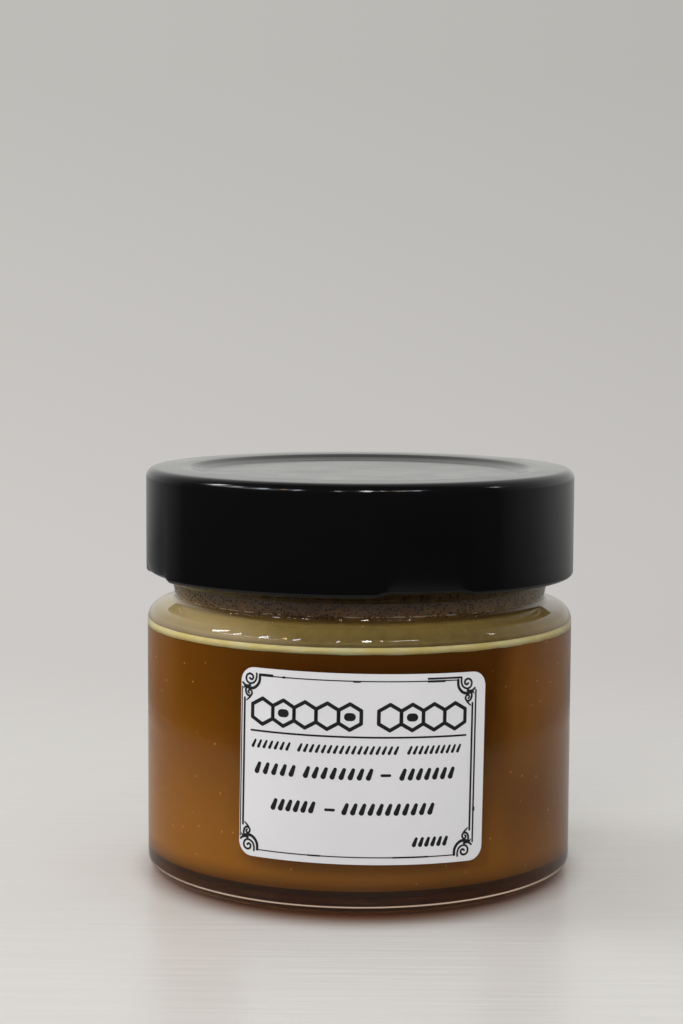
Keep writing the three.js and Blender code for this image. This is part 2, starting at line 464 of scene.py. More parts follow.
# %% The film in the neck
def neck_film(tree, axis, streaks):
    """Uneven brown that darkens in the lid's shade, and paler at the sides, where light passes."""
    burst = add_node(tree, "ShaderNodeValToRGB", {"Fac": streaks})
    stops = burst.color_ramp.elements
    stops[0].color, stops[0].position = linear("#63390D"), 0.3
    stops[1].color, stops[1].position = linear("#AC7832"), 0.72
    shade = add_node(tree, "ShaderNodeMapRange", {
        "Value": axis["Z"], "From Min": 47.6 * MM, "From Max": 50.2 * MM, "To Max": 0.75})
    shaded = add_node(tree, "ShaderNodeMix", {
        "Factor": shade.outputs["Result"], "A": burst.outputs["Color"], "B": "#221204"},
        data_type="RGBA")
    sideways = add_node(tree, "ShaderNodeMath", {0: axis["X"]}, operation="ABSOLUTE")
    paler = add_node(tree, "ShaderNodeMapRange", {
        "Value": sideways.outputs[0], "From Min": 8 * MM, "From Max": 28 * MM, "To Max": 0.3})
    palest = add_node(tree, "ShaderNodeMapRange", {
        "Value": sideways.outputs[0], "From Min": 25 * MM, "From Max": 30 * MM, "To Max": 0.6})
    passing = add_node(tree, "ShaderNodeMath", {
        0: paler.outputs["Result"], 1: palest.outputs["Result"]}, operation="ADD")
    return add_node(tree, "ShaderNodeMix", {
        "Factor": passing.outputs[0], "A": shaded.outputs["Result"], "B": "#C4AA7C"},
        data_type="RGBA").outputs["Result"]


# %% Painted shade and highlight at the foot of the neck
def off_height(tree, axis, height):
    """How far a place lies above or below a height in millimetres."""
    above = add_node(tree, "ShaderNodeMath", {0: axis["Z"], 1: height * MM}, operation="SUBTRACT")
    return add_node(tree, "ShaderNodeMath", {0: above.outputs[0]}, operation="ABSOLUTE").outputs[0]


def bend_shade_and_highlight(tree, axis, streaks, film):
    """Where the shoulder turns up into the neck: a dark line of painted shade in the bend, and above
    it a pale, broken painted highlight."""
    # A dark line of painted shade in the bend where the shoulder meets the neck.
    bend_shade = add_node(tree, "ShaderNodeMapRange", {
        "Value": off_height(tree, axis, 47.2), "From Min": 0.1 * MM, "From Max": 0.45 * MM,
        "To Min": 0.2, "To Max": 0.0})
    with_bend_shade = add_node(tree, "ShaderNodeMix", {
        "Factor": bend_shade.outputs["Result"], "A": film, "B": "#5C4019"}, data_type="RGBA")
    # A pale, broken painted highlight along the bend, a little above the dark line.
    highlight_band = add_node(tree, "ShaderNodeMath", {
        0: off_height(tree, axis, 47.9), 1: 0.14 * MM}, operation="LESS_THAN")
    broken = add_node(tree, "ShaderNodeMath", {0: streaks, 1: 0.5}, operation="GREATER_THAN")
    painted_highlight = add_node(tree, "ShaderNodeMath", {
        0: highlight_band.outputs[0], 1: broken.outputs[0]}, operation="MULTIPLY")
    return add_node(tree, "ShaderNodeMix", {
        "Factor": painted_highlight.outputs[0], "A": with_bend_shade.outputs["Result"], "B": "#D9CDB2"},
        data_type="RGBA").outputs["Result"]


# %% The specks
def on_speck(tree, place, in_neck):
    """1 on a speck, at most a third of a millimetre or so wide; the shoulder has none."""
    cells = add_node(tree, "ShaderNodeTexVoronoi", {"Vector": place, "Scale": per_mm(0.42)})
    near = add_node(tree, "ShaderNodeMath", {
        0: cells.outputs["Distance"], 1: 0.42}, operation="LESS_THAN")
    # Each cell has a random colour, and only those whose red is high enough hold a speck.
    pick = add_node(tree, "ShaderNodeSeparateColor", {"Color": cells.outputs["Color"]})
    rare = add_node(tree, "ShaderNodeMapRange", {"Value": in_neck, "To Min": 1.0, "To Max": 0.5})
    chosen = add_node(tree, "ShaderNodeMath", {
        0: pick.outputs["Red"], 1: rare.outputs["Result"]}, operation="GREATER_THAN")
    return add_node(tree, "ShaderNodeMath", {
        0: near.outputs[0], 1: chosen.outputs[0]}, operation="MULTIPLY").outputs[0]


# %% The smear's finish
def honey_smear():
    finish, tree = new_finish("honey_smear_with_specks")
    place = add_node(tree, "ShaderNodeTexCoord").outputs["Object"]
    axis = add_node(tree, "ShaderNodeSeparateXYZ", {"Vector": place}).outputs
    streaks = add_node(tree, "ShaderNodeTexNoise", {
        "Vector": place, "Scale": per_mm(2.2), "Detail": 5.0, "Roughness": 0.7}).outputs["Fac"]
    in_neck = add_node(tree, "ShaderNodeMapRange", {
        "Value": axis["Z"], "From Min": 46.9 * MM, "From Max": 47.7 * MM}).outputs["Result"]
    film = add_node(tree, "ShaderNodeMix", {
        "Factor": in_neck, "A": shoulder_film(tree, axis, streaks),
        "B": neck_film(tree, axis, streaks)}, data_type="RGBA").outputs["Result"]
    colour = add_node(tree, "ShaderNodeMix", {
        "Factor": on_speck(tree, place, in_neck), "A": bend_shade_and_highlight(tree, axis, streaks, film),
        "B": "#260C02"}, data_type="RGBA")
    smear = add_node(tree, "ShaderNodeBsdfPrincipled", {
        "Base Color": colour.outputs["Result"], "Roughness": 0.4, "Specular IOR Level": 0.1})
    add_node(tree, "ShaderNodeOutputMaterial", {"Surface": smear.outputs[0]})
    return finish


# %% The smear
SKIN = 0.12
SMEAR_TOP = 58.0


def smear_shape(angle, r, z):
    """The film's upper edge rises and falls, hidden under the lid."""
    drift = noise.noise(Vector((math.cos(angle) * 3, math.sin(angle) * 3, 8)))
    return (r, z + 2.5 * drift) if z > SMEAR_TOP - 1 else (r, z)


outer_face = rounded([
    (mouth_radius + REACH, SMEAR_TOP, 0), (mouth_radius + REACH, throat_height + REACH, 3.0),
    (inner_radius + REACH, inner_corner_height + REACH, 1.8),
    (inner_radius + REACH, foam_top - 0.3, 0)])
inner_face = [Vector((r - SKIN, z - SKIN)) for r, z in reversed(outer_face)]
smear = turn("neck_smear", outer_face + inner_face, smear_shape, closed=True)
smear.data.materials.append(honey_smear())

# %% [markdown]
# ## The twist-off lid
#
# The lid is drawn from tinplate a fifth of a millimetre thick and lacquered black. Its lower
# edge is rolled inwards, and at four places the roll is pressed further in, as lugs that hook
# under the glass thread. From outside a lug shows as a short stretch where the edge lies a
# little higher. The solid's sheet is three times as thick as tinplate, and the lid made here
# keeps to it. The lacquer is glossy, with the faint orange peel of a baked coat.

# %% The lacquer
def black_lacquer():
    finish, tree = new_finish("black_lacquered_tinplate")
    place = add_node(tree, "ShaderNodeTexCoord")
    # Orange peel of a baked lacquer has waves of 1 to 2 mm and a few micrometres of depth.
    peel = add_node(tree, "ShaderNodeTexNoise", {
        "Vector": place.outputs["Object"], "Scale": per_mm(1.6), "Detail": 1.0})
    relief = add_node(tree, "ShaderNodeBump", {
        "Height": peel.outputs["Fac"], "Strength": 0.15, "Distance": 0.02 * MM})
    # Handling leaves the gloss uneven over areas of about 10 mm.
    handled = add_node(tree, "ShaderNodeTexNoise", {
        "Vector": place.outputs["Object"], "Scale": per_mm(9), "Detail": 4.0})
    gloss = add_node(tree, "ShaderNodeMapRange", {
        "Value": handled.outputs["Fac"], "From Min": 0.3, "From Max": 0.7,
        "To Min": 0.09, "To Max": 0.16})
    lacquer = add_node(tree, "ShaderNodeBsdfPrincipled", {
        "Base Color": "#0B0B0C", "Roughness": gloss.outputs["Result"], "IOR": 1.45,
        "Normal": relief.outputs["Normal"]})
    add_node(tree, "ShaderNodeOutputMaterial", {"Surface": lacquer.outputs[0]})
    return finish


# %% The lid
LUGS = 4
LUG_CENTRE = math.radians(-90 + 17)
LUG_HALF = math.radians(11.5)
LUG_EASE = math.radians(4)
LUG_LIFT = 0.5
LUG_PRESS = 0.9
CURL = 0.85
SHEET = 0.6
PANEL_RADIUS, PANEL_DEPTH = 27.2, 0.95
PANEL_UNDERSIDE, CROWN_UNDERSIDE = 1.5, 0.75
CROWN_INNER, CROWN_OUTER = 31.6, 33.8


def lug_share(angle):
    """1 in the middle of a lug, easing to 0 past its ends."""
    pitch = 2 * math.pi / LUGS
    off = abs((angle - LUG_CENTRE + pitch / 2) % pitch - pitch / 2)
    t = min(max((LUG_HALF - off) / LUG_EASE + 0.5, 0), 1)
    return t * t * (3 - 2 * t)


def lid_shape(angle, r, z):
    """Presses the rolled edge in and up at each lug."""
    low = min(max((lid_bottom + 3 * CURL - z) / (2 * CURL), 0), 1)
    pressed = lug_share(angle) * low
    inside = 1.6 if r < lid_radius - CURL else 0.35
    return r - LUG_PRESS * inside * pressed, z + LUG_LIFT * pressed


def lid_outline():
    """The lid's section: underside, inside of the skirt, rolled edge, skirt, crown and panel."""
    skirt = lid_radius - SHEET
    curl_inner = lid_radius - 2 * CURL
    return rounded([
        (0, lid_top - PANEL_UNDERSIDE, 0), (PANEL_RADIUS + 0.8, lid_top - PANEL_UNDERSIDE, 1.0),
        (CROWN_INNER - 0.1, lid_top - CROWN_UNDERSIDE, 1.0),
        (skirt, lid_top - CROWN_UNDERSIDE, 1.3), (skirt, lid_bottom + 2.9 * CURL, 0.5),
        (curl_inner, lid_bottom + 2 * CURL, 0.4), (curl_inner, lid_bottom, CURL * 0.98),
        (lid_radius, lid_bottom, CURL * 0.98),
        (lid_radius, lid_bottom + 3.1 * CURL, 0), (lid_radius, lid_top - 0.15, 2.5),
        (CROWN_OUTER, lid_top - 0.05, 3.0), (CROWN_INNER, lid_top, 1.5),
        (PANEL_RADIUS + 2.4, lid_top - 0.1, 2.0), (PANEL_RADIUS + 1.2, lid_top - 0.6, 1.2),
        (PANEL_RADIUS, lid_top - 0.9, 1.5), (0, lid_top - PANEL_DEPTH, 0)])


lid = turn("lid_tinplate", lid_outline(), lid_shape, turns=240)
lid.data.materials.append(black_lacquer())
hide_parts("lid")

# %% [markdown]
# ## The label
#
# A self-adhesive label of smooth white paper is wrapped on the glass, a little askew. It is a
# thin plate with round corners. Working on the flat sheet, with u to the right and v up from
# its middle, and bending each point onto the glass at the end keeps the drawing simple.

# %% Bending the flat sheet onto the glass
LABEL_WIDTH = 41.6
LABEL_HEIGHT = 31.0
LABEL_CORNER = 2.4
LABEL_ANGLE = math.radians(1.0)
LABEL_MIDDLE = 24.2
LABEL_TILT = math.radians(-1.0)
PAPER_BACK = body_radius + 0.03
PAPER_FACE = body_radius + 0.12


def on_glass(u, v, radius):
    """The place on the jar of a point of the flat label, at this distance from the axis."""
    x = u * math.cos(LABEL_TILT) - v * math.sin(LABEL_TILT)
    y = u * math.sin(LABEL_TILT) + v * math.cos(LABEL_TILT)
    angle = x / PAPER_FACE + LABEL_ANGLE
    return radius * math.sin(angle), -radius * math.cos(angle), LABEL_MIDDLE + y


# %% The label's finish
def coated_paper():
    finish, tree = new_finish("coated_label_paper")
    place = add_node(tree, "ShaderNodeTexCoord")
    # The tooth of coated paper is about 0.1 mm; it is drawn at 0.4 mm so that it shows at all.
    tooth = add_node(tree, "ShaderNodeTexNoise", {
        "Vector": place.outputs["Object"], "Scale": per_mm(0.4), "Detail": 3.0})
    cloud = add_node(tree, "ShaderNodeTexNoise", {
        "Vector": place.outputs["Object"], "Scale": per_mm(12), "Detail": 2.0})
    colour = add_node(tree, "ShaderNodeMix", {
        "Factor": cloud.outputs["Fac"], "A": "#E9E9EC", "B": "#F0F0F3"}, data_type="RGBA")
    relief = add_node(tree, "ShaderNodeBump", {
        "Height": tooth.outputs["Fac"], "Strength": 0.15, "Distance": 0.02 * MM})
    paper = add_node(tree, "ShaderNodeBsdfPrincipled", {
        "Base Color": colour.outputs["Result"], "Roughness": 0.55, "Specular IOR Level": 0.4,
        "Normal": relief.outputs["Normal"]})
    add_node(tree, "ShaderNodeOutputMaterial", {"Surface": paper.outputs[0]})
    return finish


# %% The label's sheet
PAPER_COLUMNS = 72
PAPER_ROWS = 24


def column_height(u):
    """Half the label's height at this distance from its middle, less where a corner is round."""
    into = abs(u) - (LABEL_WIDTH / 2 - LABEL_CORNER)
    if into <= 0:
        return LABEL_HEIGHT / 2
    return LABEL_HEIGHT / 2 - LABEL_CORNER + math.sqrt(max(LABEL_CORNER ** 2 - into ** 2, 0))


def paper_columns():
    """Places of the sheet's columns, closer together round the corners."""
    straight = LABEL_WIDTH / 2 - LABEL_CORNER
    bend = [straight + LABEL_CORNER * math.sin(math.radians(a)) for a in range(0, 90, 9)]
    bend.append(LABEL_WIDTH / 2 - 0.001)
    middle = [straight * (2 * k / PAPER_COLUMNS - 1) for k in range(1, PAPER_COLUMNS)]
    return [-u for u in reversed(bend)] + middle + bend


def label_sheet():
    columns = paper_columns()
    vertices, faces = [], []
    across = PAPER_ROWS + 1
    for radius in (PAPER_FACE, PAPER_BACK):
        for u in columns:
            half = column_height(u)
            vertices += [on_glass(u, half * (2 * k / PAPER_ROWS - 1), radius) for k in range(across)]
    back = len(columns) * across
    for i in range(len(columns) - 1):
        for k in range(PAPER_ROWS):
            a = i * across + k
            b = a + across
            faces.append([a, b, b + 1, a + 1])
            faces.append([back + a, back + a + 1, back + b + 1, back + b])
        low, high = i * across, i * across + PAPER_ROWS
        faces.append([low, back + low, back + low + across, low + across])
        faces.append([high, high + across, back + high + across, back + high])
    last = (len(columns) - 1) * across
    for k in range(PAPER_ROWS):
        faces.append([k, k + 1, back + k + 1, back + k])
        faces.append([last + k, back + last + k, back + last + k + 1, last + k + 1])
    return add_piece("label_paper", vertices, faces, smooth=False)


label = label_sheet()
label.data.materials.append(coated_paper())
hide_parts("label")

# %% [markdown]
# ## The print
#
# The label carries a frame in the old trade style, thin double rules with a scroll in each
# corner, and rows of print inside it. The frame is common ornament and is drawn as it is. No
# words are copied: a strip of honeycomb stands where a heading would, and rows of small grains
# of the same weight and length stand for the lines of small print. Each stroke is a ribbon of
# ink with round ends, a few hundredths of a millimetre thick, bent onto the paper like the
# sheet itself.

# %% Strokes of ink
INK_FACE = body_radius + 0.15
INK_BACK = PAPER_FACE - 0.01
END_ANGLES = (0.25, 0.7, 1.15)
print_vertices, print_faces = [], []


def resampled(path, step):
    """Points along a path at even distances of about one step."""
    lengths = [0]
    for a, b in zip(path, path[1:]):
        lengths.append(lengths[-1] + (b - a).length)
    count = max(2, math.ceil(lengths[-1] / step))
    points, leg = [], 0
    for k in range(count + 1):
        along = lengths[-1] * k / count
        while leg < len(path) - 2 and lengths[leg + 1] < along:
            leg += 1
        share = (along - lengths[leg]) / max(lengths[leg + 1] - lengths[leg], 1e-9)
        points.append(path[leg].lerp(path[leg + 1], min(share, 1)))
    return points


def round_end(point, side, half, outward):
    """Narrower places beyond the end of a ribbon, from its tip inwards, on a half circle."""
    forward = Vector((side.y, -side.x)) * outward
    return [(point + forward * half * math.cos(t), side, half * math.sin(t)) for t in END_ANGLES]


def stroke(path, width, step=0.35, end_width=None):
    """Lays one ribbon of ink along a flat path, with round ends, wider or finer towards its end."""
    points = resampled([Vector(p) for p in path], step)
    end_width = width if end_width is None else end_width
    stations = []
    for k, point in enumerate(points):
        ahead = points[min(k + 1, len(points) - 1)] - points[max(k - 1, 0)]
        side = Vector((-ahead.y, ahead.x)).normalized()
        half = (width + (end_width - width) * k / (len(points) - 1)) / 2
        stations.append((point, side, half))
    ribbon = round_end(*stations[0], -1) + stations + round_end(*stations[-1], 1)[::-1]
    start = len(print_vertices)
    for point, side, half in ribbon:
        for sign in (1, -1):
            u, v = point + side * half * sign
            print_vertices.append(on_glass(u, v, INK_FACE))
            print_vertices.append(on_glass(u, v, INK_BACK))
    for k in range(len(ribbon) - 1):
        a = start + 4 * k
        print_faces.extend([
            [a, a + 2, a + 6, a + 4], [a + 1, a + 5, a + 7, a + 3],
            [a, a + 4, a + 5, a + 1], [a + 2, a + 3, a + 7, a + 6]])
    end = start + 4 * (len(ribbon) - 1)
    print_faces.append([start, start + 1, start + 3, start + 2])
    print_faces.append([end, end + 2, end + 3, end + 1])


# %% [markdown]
# The frame is the old printer's corner: a quarter round bites into each corner, a spiral curls
# in the bite, and a smaller curl hangs where the upright rule begins. Rules stop short here and
# there and thicken into dashes, as worn metal type does. One corner is drawn through a few
# points, with u and v counted inwards from the crossing of the rules, and mirrored for the rest.

# %% The frame's scrolls
def through(points, parts=6):
    """A smooth path through a few points."""
    points = [Vector(p) for p in points]
    padded = [2 * points[0] - points[1], *points, 2 * points[-1] - points[-2]]
    path = []
    for a, b, c, d in zip(padded, padded[1:], padded[2:], padded[3:]):
        for k in range(parts):
            t = k / parts
            path.append(0.5 * (2 * b + (c - a) * t + (2 * a - 5 * b + 4 * c - d) * t ** 2
                               + (3 * b - a - 3 * c + d) * t ** 3))
    return path + [points[-1]]


CORNER_STROKES = [
    # the quarter round, and a finer line beside it that runs on into the spiral
    ([(2.75, 0.0), (2.70, 0.9), (2.35, 1.6), (1.75, 2.1), (1.0, 2.25), (0.35, 2.05)], 0.44, 0.50),
    ([(2.15, -0.25), (2.15, 0.35), (1.95, 0.95), (1.50, 1.35), (0.85, 1.45), (0.40, 1.15),
      (0.22, 0.62), (0.42, 0.10), (0.95, -0.12), (1.42, 0.10), (1.52, 0.55), (1.20, 0.82),
      (0.90, 0.62)], 0.31, 0.34),
    # the leaf at the end of the quarter round
    ([(-0.40, 1.45), (-0.05, 1.75), (0.40, 1.90), (0.95, 1.80)], 0.32, 0.42),
    ([(0.35, 2.05), (0.0, 2.0), (-0.25, 2.3)], 0.40, 0.20),
    # the smaller curl, and its tail
    ([(0.25, 2.05), (0.18, 2.75), (0.45, 3.35), (0.95, 3.50), (1.32, 3.15), (1.22, 2.68),
      (0.82, 2.55), (0.62, 2.85), (0.82, 3.08)], 0.37, 0.30),
    ([(1.05, 3.55), (0.75, 3.90), (0.35, 4.25)], 0.36, 0.20),
]


def corner_ornament(corner_u, corner_v, inward_u, inward_v):
    """Draws one corner from the crossing of its rules."""
    for points, width, end_width in CORNER_STROKES:
        path = through([(corner_u + inward_u * u, corner_v + inward_v * v) for u, v in points])
        stroke(path, width, 0.15, end_width)


FRAME_LEFT, FRAME_RIGHT = -20.1, 18.35
FRAME_BOTTOM, FRAME_TOP = -14.3, 14.3
for frame_u, inward_u in ((FRAME_LEFT, 1), (FRAME_RIGHT, -1)):
    for frame_v, inward_v in ((FRAME_BOTTOM, 1), (FRAME_TOP, -1)):
        corner_ornament(frame_u, frame_v, inward_u, inward_v)

# %% The frame's rules
HAIRLINE, RULE, DASH = 0.18, 0.34, 0.44


def frame_rules():
    low, high = FRAME_BOTTOM + 3.9, FRAME_TOP - 3.9
    stroke([(FRAME_LEFT, low), (FRAME_LEFT, high)], RULE)
    stroke([(FRAME_LEFT - 0.5, low - 2.0), (FRAME_LEFT - 0.5, high + 1.8)], HAIRLINE)
    stroke([(FRAME_RIGHT, low), (FRAME_RIGHT, high)], RULE)
    stroke([(FRAME_RIGHT + 0.6, low - 2.0), (FRAME_RIGHT + 0.6, high + 2.1)], HAIRLINE * 1.6)
    stroke([(FRAME_RIGHT + 0.65, low + 3.2), (FRAME_RIGHT + 0.65, low + 3.6)], DASH)
    left, right = FRAME_LEFT + 2.75, FRAME_RIGHT - 2.75
    stroke([(left, FRAME_TOP), (right, FRAME_TOP)], HAIRLINE)
    stroke([(left, FRAME_BOTTOM), (right, FRAME_BOTTOM)], HAIRLINE)
    stroke([(left, FRAME_TOP + 0.1), (left + 2.2, FRAME_TOP + 0.1)], DASH)
    stroke([(left + 4.1, FRAME_TOP), (left + 4.3, FRAME_TOP)], DASH * 0.8)
    stroke([(-1.7, FRAME_TOP - 0.1), (-0.7, FRAME_TOP - 0.1)], DASH * 0.6)
    stroke([(right - 5.2, FRAME_TOP + 0.4), (right + 0.6, FRAME_TOP + 0.4)], DASH * 0.7)
    stroke([(right - 5.2, FRAME_TOP - 0.05), (right - 2.4, FRAME_TOP - 0.05)], DASH * 0.8)
    stroke([(-8.6, FRAME_BOTTOM), (-6.6, FRAME_BOTTOM)], DASH * 0.6)
    stroke([(5.2, FRAME_BOTTOM), (11.0, FRAME_BOTTOM)], DASH * 0.6)


frame_rules()

# %% The rows inside the frame
HEX = 2.1
HEADING_LINE = 0.6
CELL_BAR = 1.3


def honeycomb(left, right, middle):
    """A strip of upright hexagons; every third one holds a short bar of ink."""
    count = round((right - left) / (HEX * math.sqrt(3)))
    pitch = (right - left) / count
    corners = [(math.sin(math.radians(a)), math.cos(math.radians(a))) for a in range(0, 420, 60)]
    for k in range(count):
        u = left + pitch * (k + 0.5)
        ends = [(u + HEX * across, middle + HEX * up) for across, up in corners]
        for pair in zip(ends, ends[1:]):
            stroke(pair, HEADING_LINE, 0.5)
        if k % 3 == 1:
            stroke([(u - 0.3, middle), (u + 0.3, middle)], CELL_BAR)


def grains(spans, middle, length, width, pitch, lean):
    """Rows of small leaning seed shapes, like pollen, that stand for a line of small print."""
    upward = Vector((math.sin(math.radians(lean)), math.cos(math.radians(lean))))
    reach = upward * (length - width) / 2
    for left, right in spans:
        count = max(2, round((right - left) / pitch) + 1)
        for k in range(count):
            here = Vector((left + (right - left) * k / (count - 1), middle))
            stroke([here - reach, here, here + reach], width, 0.3, width * 0.7)


honeycomb(-18.6, -0.4, 8.5)
honeycomb(2.4, 17.0, 8.5)
stroke([(-18.8, 5.25), (17.2, 5.25)], 0.3)
grains([(-18.2, -12.2), (-10.2, 5.4), (7.6, 16.0)], 3.2, 1.6, 0.5, 0.98, 24)
grains([(-17.4, -11.4), (-9.0, 1.2), (6.6, 14.8)], -0.7, 2.2, 0.85, 1.4, 20)
stroke([(3.1, -0.9), (4.4, -0.9)], 0.45)
grains([(-14.4, -8.0), (-2.6, 11.4)], -6.4, 2.2, 0.85, 1.4, 20)
stroke([(-5.8, -6.7), (-4.5, -6.7)], 0.45)
grains([(8.8, 14.0)], -11.8, 1.8, 0.7, 1.05, 20)


# %% The print on the paper
def black_ink():
    finish, tree = new_finish("black_label_ink")
    place = add_node(tree, "ShaderNodeTexCoord")
    # Thin spots in the ink are about 0.3 mm.
    thin_spots_and_painted_light = add_node(tree, "ShaderNodeTexNoise", {
        "Vector": place.outputs["Object"], "Scale": per_mm(0.3), "Detail": 2.0})
    colour = add_node(tree, "ShaderNodeMix", {
        "Factor": thin_spots_and_painted_light.outputs["Fac"], "A": "#18171B", "B": "#26252A"}, data_type="RGBA")
    ink = add_node(tree, "ShaderNodeBsdfPrincipled", {
        "Base Color": colour.outputs["Result"], "Roughness": 0.6, "Specular IOR Level": 0.3})
    add_node(tree, "ShaderNodeOutputMaterial", {"Surface": ink.outputs[0]})
    return finish


label_print = add_piece("label_print", print_vertices, print_faces, smooth=False)
label_print.data.materials.append(black_ink())

# %% [markdown]
# ## Floor and light
#
# The jar stands on a pale painted board that fades into the background a little way off. The
# surroundings are a plain studio in the world shader: even light for everything that is
# matt, and for mirror-like rays a pale wall behind and to the right, with the dark of the room
# in front. That split keeps the front of the black lid and of the glass as dark as it is.

# %% Rays sent on by mirror-like surfaces
def mirror_ray(tree):
    """1 for a ray sent on by a mirror-like surface, 0 for one from a matt surface."""
    path = add_node(tree, "ShaderNodeLightPath")
    return add_node(tree, "ShaderNodeMath", {
        0: path.outputs["Is Reflection Ray"], 1: path.outputs["Is Diffuse Ray"]},
        operation="SUBTRACT", use_clamp=True).outputs[0]


# %% The paint of the floor
FADE_FROM, FADE_TO = -60, 260
MIRROR_FROM, MIRROR_TO = 150, 185


def painted_board():
    finish, tree = new_finish("pale_painted_board")
    place = add_node(tree, "ShaderNodeTexCoord")
    # Brush marks run along X, about 1.5 mm apart and 30 mm long.
    brush = add_node(tree, "ShaderNodeMapping", {
        "Vector": place.outputs["Object"], "Scale": (per_mm(30), per_mm(1.5), 1)})
    marks = add_node(tree, "ShaderNodeTexNoise", {
        "Vector": brush.outputs["Vector"], "Scale": 1.0, "Detail": 3.0})
    relief = add_node(tree, "ShaderNodeBump", {
        "Height": marks.outputs["Fac"], "Strength": 0.35, "Distance": 0.25 * MM})
    colour = add_node(tree, "ShaderNodeMix", {
        "Factor": marks.outputs["Fac"], "A": "#DEDBD6", "B": "#EAE8E4"}, data_type="RGBA")
    # A painted contact shadow in a ring round the foot, wider in front, brown as from light that has
    # crossed the honey.
    from_axis = add_node(tree, "ShaderNodeVectorMath", {
        0: place.outputs["Object"]}, operation="LENGTH")
    squeezed = add_node(tree, "ShaderNodeVectorMath", {
        0: place.outputs["Object"], 1: (1.13, 1.0, 1.0)}, operation="MULTIPLY")
    from_foot = add_node(tree, "ShaderNodeVectorMath", {
        0: squeezed.outputs["Vector"]}, operation="LENGTH")
    ring = add_node(tree, "ShaderNodeMapRange", {
        "Value": from_foot.outputs["Value"], "From Min": 34.0 * MM, "From Max": 47.5 * MM},
        interpolation_type="SMOOTHERSTEP")
    with_contact_shadow = add_node(tree, "ShaderNodeMix", {
        "Factor": ring.outputs["Result"], "A": "#6E3E16", "B": colour.outputs["Result"]},
        data_type="RGBA")
    # In the glass and the lid the board looks dimmer and ends sooner, as a narrow shelf does.
    mirrored = mirror_ray(tree)
    dimmed = add_node(tree, "ShaderNodeMix", {
        "Factor": mirrored, "A": with_contact_shadow.outputs["Result"], "B": "#9A9691"}, data_type="RGBA")
    paint = add_node(tree, "ShaderNodeBsdfPrincipled", {
        "Base Color": dimmed.outputs["Result"], "Roughness": 0.3, "Specular IOR Level": 0.3,
        "Normal": relief.outputs["Normal"]})
    depth = add_node(tree, "ShaderNodeSeparateXYZ", {"Vector": place.outputs["Object"]})
    seen_fade = add_node(tree, "ShaderNodeMapRange", {
        "Value": depth.outputs["Y"], "From Min": FADE_FROM * MM, "From Max": FADE_TO * MM},
        interpolation_type="SMOOTHSTEP")
    mirror_fade = add_node(tree, "ShaderNodeMapRange", {
        "Value": from_axis.outputs["Value"], "From Min": MIRROR_FROM * MM,
        "From Max": MIRROR_TO * MM})
    fade = add_node(tree, "ShaderNodeMix", {
        "Factor": mirrored, "A": seen_fade.outputs["Result"], "B": mirror_fade.outputs["Result"]})
    clear = add_node(tree, "ShaderNodeBsdfTransparent")
    both = add_node(tree, "ShaderNodeMixShader", {
        0: fade.outputs["Result"], 1: paint.outputs[0], 2: clear.outputs[0]})
    add_node(tree, "ShaderNodeOutputMaterial", {"Surface": both.outputs[0]})
    return finish


# %% The floor
FLOOR_RADIUS = 700

floor_mesh = bpy.data.meshes.new("floor_board")
floor_mesh.from_pydata(
    [(FLOOR_RADIUS * MM * math.cos(math.radians(a)), FLOOR_RADIUS * MM * math.sin(math.radians(a)), 0)
     for a in range(0, 360, 5)], [], [list(range(72))])
floor_board = bpy.data.objects.new("floor_board", floor_mesh)
bpy.context.scene.collection.objects.link(floor_board)
floor_mesh.materials.append(painted_board())
print(f"floor board: {FLOOR_RADIUS} mm in radius")

# %% The room that mirrors show
def mirrored_room(tree, look):
    """What shines in the glass and the lid: a pale wall behind, the dark of the room in front."""
    # Towards the back the wall gets brighter, a little sooner on the right than on the left.
    backward = add_node(tree, "ShaderNodeMath", {
        0: look["X"], 1: 0.27, 2: look["Y"]}, operation="MULTIPLY_ADD")
    around = add_node(tree, "ShaderNodeValToRGB", {"Fac": backward.outputs[0]})
    stops = around.color_ramp.elements
    stops[0].position, stops[0].color = 0.05, (0.025, 0.025, 0.026, 1)
    stops[1].position, stops[1].color = 0.90, (0.31, 0.31, 0.30, 1)
    for position, level in ((0.17, 0.08), (0.34, 0.13), (0.55, 0.19), (0.72, 0.27)):
        stops.new(position).color = (level, level, level, 1)
    # Above the board's level the same wall is lit from above, up to three times as bright.
    above = add_node(tree, "ShaderNodeMapRange", {
        "Value": look["Z"], "From Min": -0.16, "From Max": 0.05, "To Min": 0.7, "To Max": 2.15})
    return add_node(tree, "ShaderNodeMix", {
        "Factor": 1.0, "A": around.outputs["Color"], "B": above.outputs["Result"]},
        data_type="RGBA", blend_type="MULTIPLY", clamp_result=False).outputs["Result"]


# %% The wall behind
def wall_behind(tree, look):
    """The painted wall seen straight, with painted shade: a little darker towards the top and towards
    the right.
    """
    shaded_higher = add_node(tree, "ShaderNodeMapRange", {
        "Value": look["Z"], "From Min": -0.12, "From Max": 0.09})
    tone = add_node(tree, "ShaderNodeMix", {
        "Factor": shaded_higher.outputs["Result"], "A": "#CAC7C4", "B": "#BCBAB6"}, data_type="RGBA")
    shaded_aside = add_node(tree, "ShaderNodeMapRange", {
        "Value": look["X"], "From Min": -0.15, "From Max": 0.15, "To Min": 1.03, "To Max": 0.95})
    return add_node(tree, "ShaderNodeVectorMath", {
        0: tone.outputs["Result"], "Scale": shaded_aside.outputs["Result"]},
        operation="SCALE").outputs["Vector"]


